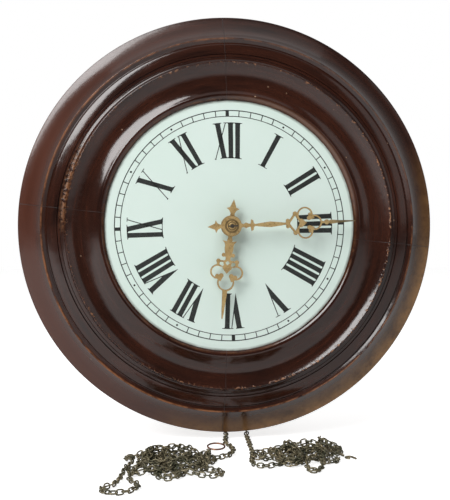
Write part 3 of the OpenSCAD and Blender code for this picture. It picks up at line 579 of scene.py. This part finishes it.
RIGHT_LOOP = [(58.4, -201, -204.3), (57.6, -209, -204.3), (55.8, -218, -204.3), (54.4, -229, -204.3),
    (57.5, -237, -204.3), (63.5, -233.5, -204.3), (67.5, -223, -204.3), (71.5, -211, -204.3),
    (76, -199, -204.3)]


def relaxed(points, passes):
    """The line with its kinks drawn out, ends held."""
    for _ in range(passes):
        between = [(a + b * 2 + c) / 4 for a, b, c in zip(points, points[1:], points[2:])]
        points = [points[0]] + between + [points[-1]]
    return points


def heap_chain(name, lead, outline, peak, seed, lengths, spread, loop, end, cad):
    """One free chain: straight out of the case, over the floor into its heap, round a loop and back.

    The loop is the part that lies outside the heap, and the fitting is the CAD node at the chain's end.
    """
    pts = [from_dial(*p) for p in lead]
    loop_pts = [from_dial(*p) for p in loop]
    area = [tuple(from_dial(x, y, 0).xy) for x, y in outline]
    top = from_dial(*peak, 0).xy
    run_in = (loop_pts[1] - loop_pts[0]).normalized() * RUN_IN
    heap = heap_route(area, top, seed, lengths[0], pts[-1], [loop_pts[0] - run_in, loop_pts[0]],
                      pts[-1] - pts[-2], spread[0])
    back = heap_route(area, top, seed + 1, lengths[1], loop_pts[-1], [from_dial(*end)],
                      loop_pts[-1] - loop_pts[-2], spread[1])
    route = smooth_line(pts) + heap[1:] + smooth_line(loop_pts) + back[1:]
    line = relaxed(resample(route, FINE_STEP), ROUTE_PASSES)
    total = sum((b - a).length for a, b in zip(line, line[1:]))
    line = resample(line, total / round(total / PITCH) - 1e-7)
    resting = pts[-1].z + 0.5 * MM
    first = next(i for i, p in enumerate(line) if p.z < resting)
    line = relaxed(settle(line, first), LAID_PASSES)
    piece = chain_mesh(name, line, seed)
    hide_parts(*cad)


# each heap's outline on the floor
LEFT_HEAP = [(-24, -182), (-24, -212), (-26, -244), (-34, -249), (-43, -246), (-47, -231), (-54, -230),
             (-62, -243), (-70, -250), (-82, -247), (-86, -216), (-88, -190), (-86, -174), (-76, -162),
             (-56, -160), (-40, -164), (-28, -172)]
RIGHT_HEAP = [(13, -196), (12, -208), (20, -215), (34, -210), (46, -201), (58, -193), (79, -191), (99, -189),
              (102, -180), (96, -166), (80, -158), (60, -156), (40, -158), (24, -166), (20, -182)]
LEFT_END = (-22.5, -151, -204.3)
RIGHT_END = (99, -184.5, -204.3)

heap_chain("left_chain", LEFT_ROUTE, LEFT_HEAP, (-56, -194), 11, (1.08, 0.44), (0.10, 0.30),
           LEFT_TAIL, LEFT_END, ["chain_left", "chain_left_pile"])
heap_chain("right_chain", RIGHT_ROUTE, RIGHT_HEAP, (50, -182), 23, (0.76, 0.50), (0.05, 0.12),
           RIGHT_LOOP, RIGHT_END, ["chain_right", "chain_right_pile"])


# ---------------------------------------------------------------- dial print
PRINT_Y = DIAL_Y - 0.06 * MM
PRINT_TURN = -1.6  # degrees the printed ring stands off upright
# mm, and near is a numeral's inner end
NEAR_R, FAR_R = 63.8, 97.4
SERIF = 0.65
NEAR_W, FAR_W = 4.2, 4.6
THIN = 0.84
INNER_LINE, OUTER_LINE = (102.8, 103.5), (108.15, 109.05)
DOT_R, DOT_SIZE = 105.9, 1.0


class Print:
    """Flat ink shapes on the dial, each a polygon of (sideways, radius) points turned to an angle."""

    def __init__(self):
        self.verts, self.faces = [], []

    def shape(self, points, turn):
        """One polygon, turned clockwise from 12 by the angle."""
        a = math.radians(turn)
        base = len(self.verts)
        for u, r in points:
            up = math.sqrt(max(r * r - u * u, 0))
            x = up * math.sin(a) + u * math.cos(a)
            z = up * math.cos(a) - u * math.sin(a)
            p = from_dial(x, 0, z)
            self.verts.append((p.x, PRINT_Y, p.z))
        self.faces.append(tuple(range(base, len(self.verts))))

    def serif(self, u0, u1, far, turn):
        """A thin line along the numeral's end from u0 to u1, in short straight pieces."""
        r0, r1 = (FAR_R - SERIF, FAR_R) if far else (NEAR_R, NEAR_R + SERIF)
        n = max(2, int((u1 - u0) / 2))
        for i in range(n):
            a, b = u0 + (u1 - u0) * i / n, u0 + (u1 - u0) * (i + 1) / n
            self.shape([(a, r0), (b, r0), (b, r1), (a, r1)], turn)

    def bracket(self, u, side, far, turn):
        """The small hollow corner between a stroke's edge and its serif."""
        r, s = (FAR_R - SERIF, -1) if far else (NEAR_R + SERIF, 1)
        curve = [(u - side * 0.3, r - s * 0.2)]
        for k in range(5):
            t = math.pi / 2 * k / 4
            curve.append((u + side * 1.15 * (1 - math.sin(t)), r + s * 1.0 * (1 - math.cos(t))))
        curve.append((u - side * 0.3, r + s * 1.0))
        self.shape(curve, turn)

    def stroke(self, near, far, turn, near_w=NEAR_W, far_w=FAR_W, brackets=True):
        """A stem from the sideways place near, at the numeral's inner end, to far, at its outer end."""
        n = 6
        left, right = [], []
        for i in range(n + 1):
            t = i / n
            r = NEAR_R + (FAR_R - NEAR_R) * t
            u, w = near + (far - near) * t, near_w + (far_w - near_w) * t
            left.append((u - w / 2, r))
            right.append((u + w / 2, r))
        self.shape(left + right[::-1], turn)
        if brackets:
            for side in (-1, 1):
                self.bracket(near + side * near_w / 2, side, False, turn)
                self.bracket(far + side * far_w / 2, side, True, turn)

    def vee(self, point, thick, thin, turn):
        """A V with its point at the inner end and its thick and thin strokes ending at the outer one."""
        wide = 4.9
        lean = (thick - wide / 2 - point) / (FAR_R - NEAR_R)
        slope = (thin + THIN / 2 - point) / (FAR_R - NEAR_R)
        up = (wide + THIN) / (slope - lean)
        notch = (point + lean * up + wide, NEAR_R + up)
        self.shape([(point, NEAR_R - 0.4), (thin + THIN / 2, FAR_R), (thin - THIN / 2, FAR_R), notch], turn)
        self.shape([(point, NEAR_R - 0.4), notch, (thick + wide / 2, FAR_R), (thick - wide / 2, FAR_R)], turn)
        for side in (-1, 1):
            self.bracket(thick + side * wide / 2, side, True, turn)

    def ex(self, near, far, thin_near, thin_far, turn):
        """An X of one thick and one thin stroke."""
        self.stroke(near, far, turn, 4.4, 4.7)
        self.stroke(thin_near, thin_far, turn, THIN, THIN, False)
        self.shape([(thin_near - 0.9, NEAR_R), (thin_near + 0.9, NEAR_R), (thin_near + 0.5, NEAR_R + 1.3),
                    (thin_near - 0.2, NEAR_R + 1.3)], turn)

    def band(self, r0, r1):
        """A thin ring round the dial."""
        pieces = 240
        base = len(self.verts)
        for i in range(pieces):
            a = 2 * math.pi * i / pieces
            for r in (r0, r1):
                p = from_dial(r * math.sin(a), 0, r * math.cos(a))
                self.verts.append((p.x, PRINT_Y, p.z))
        for i in range(pieces):
            j = (i + 1) % pieces
            self.faces.append((base + 2 * i, base + 2 * j, base + 2 * j + 1, base + 2 * i + 1))

    def dot(self, r, size, turn):
        corners = [t * math.pi / 7 for t in range(14)]
        self.shape([(size * math.cos(t), r + size * math.sin(t)) for t in corners], turn)


# each hour in mm: i strokes (near, far), v (point, thick, thin), x (near, far, thin near, thin far), and
# the serifs at the near and far ends as spans
HOURS = {
    1: dict(i=[(0, 0)], near=[(-4.6, 4.6)], far=[(-4.7, 4.7)]),
    2: dict(i=[(-3.15, -3.4), (3.15, 3.4)], near=[(-6.7, 6.7)], far=[(-7.2, 7.2)]),
    3: dict(i=[(-6.3, -6.8), (0, 0), (6.3, 6.8)], near=[(-10.4, 10.4)], far=[(-10.8, 10.8)]),
    4: dict(i=[(-9.4, -10.1), (-3.15, -3.4), (3.15, 3.4), (9.4, 10.1)], near=[(-13.6, 13.6)],
            far=[(-13.6, 13.6)]),
    5: dict(v=[(0.2, -3.7, 5.8)], far=[(-8.2, -0.2), (3.6, 8.4)]),
    6: dict(v=[(-3.2, -6.0, 1.4)], i=[(3.9, 5.7)], near=[(0.4, 7.8)], far=[(-10.7, -2.7), (-0.2, 10.4)]),
    7: dict(v=[(-5.3, -9.9, -1.6)], i=[(2.0, 2.2), (8.5, 9.0)], near=[(-1.8, 12.2)],
            far=[(-13.8, -6.0), (-2.6, 12.8)]),
    8: dict(v=[(-8.6, -12.7, -3.6)], i=[(-0.9, -1.0), (5.3, 5.7), (11.5, 12.4)], near=[(-4.6, 15.2)],
            far=[(-16.4, -8.8), (-4.4, 16.2)]),
    9: dict(i=[(-6.0, -6.2)], x=[(6.2, -0.4, -1.8, 8.7)], near=[(-9.6, 9.7), (-2.6, -1.2)],
            far=[(-10.0, 3.8), (6.8, 10.6)]),
    10: dict(x=[(4.1, -3.5, -5.8, 6.3)], near=[(0.3, 8.2)], far=[(-7.6, 0.6), (4.0, 8.6)]),
    11: dict(x=[(0.0, -5.0, -8.6, 2.6)], i=[(6.2, 7.0)], near=[(-3.6, 10.2)], far=[(-9.2, -1.0), (0.8, 10.9)]),
    12: dict(x=[(-3.8, -9.7, -12.1, -1.9)], i=[(2.4, 2.8), (8.6, 9.6)], near=[(-7.6, 12.6)],
             far=[(-14.0, -5.8), (-3.9, 13.8)]),
}

print_ink = Print()
for hour, spec in HOURS.items():
    turn = hour * 30 + PRINT_TURN
    for near, far in spec.get("i", []):
        print_ink.stroke(near, far, turn)
    for v in spec.get("v", []):
        print_ink.vee(*v, turn)
    for x in spec.get("x", []):
        print_ink.ex(*x, turn)
    for a, b in spec.get("near", []):
        print_ink.serif(a, b, False, turn)
    for a, b in spec.get("far", []):
        print_ink.serif(a, b, True, turn)
    if hour % 3 == 0:
        print_ink.shape([(-1.6, 103.2), (1.6, 103.2), (1.6, 108.6), (-1.6, 108.6)], turn)
    else:
        print_ink.dot(DOT_R, DOT_SIZE, turn)
for minute in range(60):
    if minute % 5:
        turn = minute * 6 + PRINT_TURN
        print_ink.shape([(-0.4, 103.0), (0.4, 103.0), (0.42, 108.9), (-0.42, 108.9)], turn)
print_ink.band(*INNER_LINE)
print_ink.band(*OUTER_LINE)
dial_print = add_object("dial_print", print_ink.verts, print_ink.faces, INK, smooth=False)
if dial_print.data.polygons[0].normal.y > 0:
    dial_print.data.flip_normals()


# ---------------------------------------------------------------- surround
def bend(p, r, a0, a1, n):
    """One bend of the moulding's outline, walked inwards: climb angles a0 to a1, hollow where r is positive."""
    s0 = math.radians(a0)
    c = (p[0] + r * math.sin(s0), p[1] + r * math.cos(s0))
    out = []
    for i in range(n + 1):
        a = math.radians(a0 + (a1 - a0) * i / n)
        out.append((c[0] - r * math.sin(a), c[1] - r * math.cos(a)))
    return out


def climb(p, a, length):
    """The end of a straight stretch of the outline at climb angle a."""
    return (p[0] - length * math.cos(math.radians(a)), p[1] + length * math.sin(math.radians(a)))


# the surround's radii and heights in mm
OUT_R, OPEN_R, RIM_H = 200.0, 118.0, 7.2
DIAL_H = (BACK_Y - DIAL_Y) / MM
CLIP_R, SEAT_R, LEDGE_H = 135.0, 125.0, 21.0
CRISP = math.radians(28)  # corners of an outline sharper than this stay crisp


def moulding_bends():
    """The surround's closed outline of (radius, height) in mm, from the rim inwards and round the back."""
    rim = bend((OUT_R, RIM_H), -0.9, 90, 18.5, 8)
    cavetto = bend(rim[-1], 42.2, 18.5, 56.5, 24)
    arris = bend(cavetto[-1], -0.5, 56.5, -24, 6)
    valley = bend(climb(arris[-1], -30, 4), 0.8, -30, 75, 8)
    shoulder = bend(valley[-1], -2.6, 75, 16, 10)
    band = bend(shoulder[-1], -42, 16, 4.5, 10)
    v = band[-1]
    riser = bend((v[0] - 5.1, v[1] + 0.7), 2.6, 10, 74, 10)
    ridge = bend(climb(riser[-1], 74, 3.2), -0.8, 74, -33.2, 8)
    cove = bend(ridge[-1], 28, -33.2, 28.7, 30)
    lip_out = bend(cove[-1], -3, 28.7, 0, 5)
    lip_in = bend(lip_out[-1], -5.6, 0, -54, 12)
    groove = [(v[0] - 0.5, v[1] - 0.9), (v[0] - 1, v[1] + 0.1), (v[0] - 3.1, v[1] + 0.35),
              (v[0] - 3.35, v[1]), (v[0] - 3.6, v[1] + 0.4)]
    front = [(OUT_R, 0.6)] + rim + cavetto[1:] + arris[1:] + valley + shoulder[1:] + band[1:] + groove + riser \
        + ridge + cove[1:] + lip_out[1:] + lip_in[1:]
    back = [(OPEN_R, DIAL_H + 1), (OPEN_R, DIAL_H), (SEAT_R, DIAL_H), (SEAT_R, LEDGE_H), (CLIP_R, LEDGE_H),
            (CLIP_R, 0), (OUT_R - 0.6, 0)]
    return front + back


def lathe(name, profile, material, body="case", turns=360):
    """A closed outline of (radius, height) turned about the dial axis, with its crisp corners marked."""
    verts, faces, sharp = [], [], set()
    n = len(profile)
    for i in range(turns):
        a = 2 * math.pi * i / turns
        for r, h in profile:
            p = from_dial(r * math.sin(a), 0, r * math.cos(a))
            verts.append((p.x, BACK_Y - h * MM, p.z))
    for i in range(turns):
        j = (i + 1) % turns
        for k in range(n):
            m = (k + 1) % n
            faces.append((i * n + k, i * n + m, j * n + m, j * n + k))
    obj = add_object(name, verts, faces, material, body)
    for k in range(n):
        a, b, c = profile[k - 1], profile[k], profile[(k + 1) % n]
        t0 = math.atan2(b[1] - a[1], b[0] - a[0])
        t1 = math.atan2(c[1] - b[1], c[0] - b[0])
        if abs((t1 - t0 + math.pi) % (2 * math.pi) - math.pi) > CRISP:
            sharp.add(k)
    for e in obj.data.edges:
        a, b = e.vertices
        if a % n == b % n and a % n in sharp:
            e.use_edge_sharp = True
    return obj


surround = lathe("surround", moulding_bends(), MAHOGANY)
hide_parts("surround_moulding")


# ---------------------------------------------------------------- hands
SAME_POINT = 0.01 * MM
HAND_ROUNDING = 0.28 * MM


def softened(node, body):
    """A copy of a flat CAD hand with its edges rounded over, and painted shade on them where they turn away
    from the front.
    """
    obj = bpy.data.objects.new(node + "_face", bpy.data.objects[node].data.copy())
    bpy.context.scene.collection.objects.link(obj)
    obj.data.materials.clear()
    obj.data.materials.append(HAND_FACE)
    obj.data.materials.append(HAND_EDGE_SHADE)
    weld = obj.modifiers.new("weld", "WELD")
    weld.merge_threshold = SAME_POINT
    bevel = obj.modifiers.new("bevel", "BEVEL")
    bevel.width = HAND_ROUNDING
    bevel.segments = 2
    bevel.limit_method = "ANGLE"
    bevel.angle_limit = math.radians(40)
    bevel.use_clamp_overlap = True
    bpy.context.view_layer.update()
    done = bpy.data.meshes.new_from_object(obj.evaluated_get(bpy.context.evaluated_depsgraph_get()))
    obj.modifiers.clear()
    obj.data = done
    # faces turned away from the front get the painted edge shade
    for face in done.polygons:
        face.material_index = 0 if abs(face.normal.y) > 0.95 else 1
    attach(obj, body)
    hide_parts(node)
    return obj


for node, body in (("hour_hand", "hour_train"), ("minute_hand", "minute_train")):
    hand = softened(node, body)

COLLET_H = (BACK_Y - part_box("hand_collet")[1].y) / MM
# (radius, height above the collet's back) in mm
COLLET = [(1.5, 0), (6.5, 0), (6.5, 0.75), (6.2, 1.0), (5.85, 1.0), (5.55, 0.55), (5.2, 0.6), (4.85, 1.5),
          (4.4, 1.95), (4.05, 1.95), (3.8, 1.6), (3.5, 1.65), (3.2, 2.3), (2.7, 2.8), (1.9, 3.0), (1.5, 3.0)]
collet = lathe("collet", [(r, COLLET_H + h) for r, h in COLLET], COLLET_FACE, "minute_train", 96)
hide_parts("hand_collet")


# ---------------------------------------------------------------- floor and light
bpy.ops.mesh.primitive_plane_add(size=9, location=(0, -1.0, FLOOR_Z))
floor = bpy.context.object
floor.name = "floor"
floor.data.materials.append(floor_material())


def area_light(name, at, aim, size, power):
    """A rectangular softbox that faces a point."""
    data = bpy.data.lights.new(name, "AREA")
    data.shape = "RECTANGLE"
    data.size, data.size_y = size
    data.energy = power
    obj = bpy.data.objects.new(name, data)
    bpy.context.scene.collection.objects.link(obj)
    obj.location = at
    obj.rotation_euler = (aim - at).to_track_quat("-Z", "Y").to_euler()


CENTRE = from_dial(0, -110, 0)
IN_FRONT = CENTRE + Vector((0, -0.4, 0))
area_light("window", CENTRE + Vector((-0.95, -1.25, 1.15)), aim=CENTRE, size=(0.98, 1.32), power=38)
area_light("fill", CENTRE + Vector((1.5, -1.5, 0.7)), aim=CENTRE, size=(0.9, 1.4), power=2.2)
area_light("overhead", IN_FRONT + Vector((0, 0, 2.3)), aim=IN_FRONT, size=(3.0, 2.2), power=9)


def studio_world():
    """White to the eye. What lights the clock is dim on the viewer's side and brighter beyond it."""
    world = bpy.data.worlds.new("studio")
    world.use_nodes = True
    nodes, links = world.node_tree.nodes, world.node_tree.links
    where = nodes.new("ShaderNodeTexCoord")
    split = nodes.new("ShaderNodeSeparateXYZ")
    links.new(where.outputs["Generated"], split.inputs[0])
    ramp = nodes.new("ShaderNodeMapRange")
    for key, value in (("From Min", -0.35), ("From Max", 0.55), ("To Min", 0.06), ("To Max", 0.50)):
        ramp.inputs[key].default_value = value
    links.new(split.outputs["Y"], ramp.inputs["Value"])
    seen = nodes.new("ShaderNodeMath")
    seen.operation = "MAXIMUM"
    links.new(ramp.outputs["Result"], seen.inputs[0])
    links.new(nodes.new("ShaderNodeLightPath").outputs["Is Camera Ray"], seen.inputs[1])
    links.new(seen.outputs[0], nodes["Background"].inputs["Strength"])
    nodes["Background"].inputs["Color"].default_value = (1, 1, 1, 1)
    bpy.context.scene.world = world


studio_world()
bpy.context.scene.view_settings.view_transform = "Standard"
